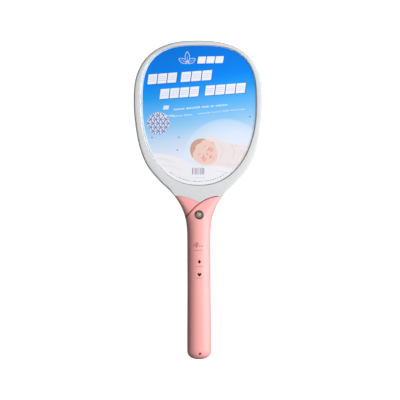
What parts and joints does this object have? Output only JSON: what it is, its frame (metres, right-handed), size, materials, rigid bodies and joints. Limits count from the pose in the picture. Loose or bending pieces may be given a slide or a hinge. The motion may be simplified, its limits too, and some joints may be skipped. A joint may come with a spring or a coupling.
{
  "type": "electric fly swatter",
  "caption": "Racket-shaped electric fly swatter: wire nets in an oval frame behind a display card, on a round handle with a torch, controls and a fold-out plug.",
  "frame": {"origin": "middle of the bounding box in plan, on the surface that the swatter lies on", "axes": "+Z out of the front face, +Y along the length towards the tip of the head, +X to the right seen from the front"},
  "size_m": [0.199, 0.49, 0.0334],
  "materials": {
    "grey_plastic": "satin moulded pale grey",
    "pink_plastic": "semi-gloss moulded salmon pink",
    "insulator": "matte white",
    "net_wire": "bright drawn",
    "printed_card": "coated and printed",
    "screw_steel": "zinc plated",
    "bezel_metal": "dark plated",
    "clear_lens": "clear",
    "bright_metal": "mirror plated",
    "led_resin": "pale yellow resin",
    "window_tint": "dark maroon tint",
    "red_resin": "red resin",
    "board": "green solder mask",
    "ferrite": "dark sintered",
    "winding_tape": "yellow tape",
    "capacitor_brown": "dipped brown",
    "capacitor_yellow": "moulded yellow",
    "capacitor_sleeve": "dark blue sleeve",
    "black_resin": "moulded black",
    "resistor_body": "lacquered beige",
    "white_plastic": "semi-gloss white",
    "cell_wrap": "blue shrink wrap",
    "nickel": "nickel strip",
    "black_plastic": "fine texture",
    "brass": "plated",
    "red_lead": "insulation",
    "black_lead": "insulation"
  },
  "bodies": {
    "swatter": {"head_front_frame": "grey_plastic", "head_rear_frame": "grey_plastic", "front_spacer_ring": "insulator", "rear_spacer_ring": "insulator", "front_net": "net_wire", "middle_net": "net_wire", "rear_net": "net_wire", "head_screws": "screw_steel", "handle_front_shell": "pink_plastic", "handle_rear_shell": "pink_plastic", "handle_screws": "screw_steel", "torch_bezel": "bezel_metal", "torch_lens": "clear_lens", "torch_reflector": "bright_metal", "torch_led": "led_resin", "diamond_window": "window_tint", "heart_window": "window_tint", "indicator_leds": "red_resin", "circuit_board": "board", "board_screws": "screw_steel", "transformer_core": "ferrite", "transformer_winding": "winding_tape", "hv_capacitors": "capacitor_brown", "mains_capacitor": "capacitor_yellow", "filter_capacitor": "capacitor_sleeve", "hv_diodes": "black_resin", "resistors": "resistor_body", "switching_transistor": "black_resin", "tact_switch": "black_resin", "slide_switch": "screw_steel", "battery_cell": "cell_wrap", "battery_tabs": "nickel", "plug_pivot_pin": "screw_steel", "plug_contacts": "brass", "battery_leads": "red_lead", "net_leads": "red_lead", "torch_leads": "black_lead", "plug_leads": "black_lead"},
    "card": {"display_card": "printed_card"},
    "button": {"push_button": "white_plastic", "switch_plunger": "white_plastic"},
    "slider": {"slide_knob": "white_plastic", "slide_lever": "black_resin"},
    "plug": {"plug_carrier": "black_plastic", "plug_blades": "brass"}
  },
  "joints": [
    {"name": "card_lift", "type": "slide", "parent": "swatter", "child": "card", "axis": [0, 0, 1], "range_m": [0, 0.06]},
    {"name": "button_press", "type": "slide", "parent": "swatter", "child": "button", "axis": [0, 0, 1], "range_m": [0, 0.001], "stiffness_N_per_m": 2000, "springref_m": -0.0003},
    {"name": "switch_slide", "type": "slide", "parent": "swatter", "child": "slider", "axis": [0, 1, 0], "range_m": [0, 0.006]},
    {"name": "plug_fold", "type": "hinge", "parent": "swatter", "child": "plug", "pos_m": [0, -0.222, 0.0053], "axis": [-1, 0, 0], "range_deg": [0, 90]}
  ]
}
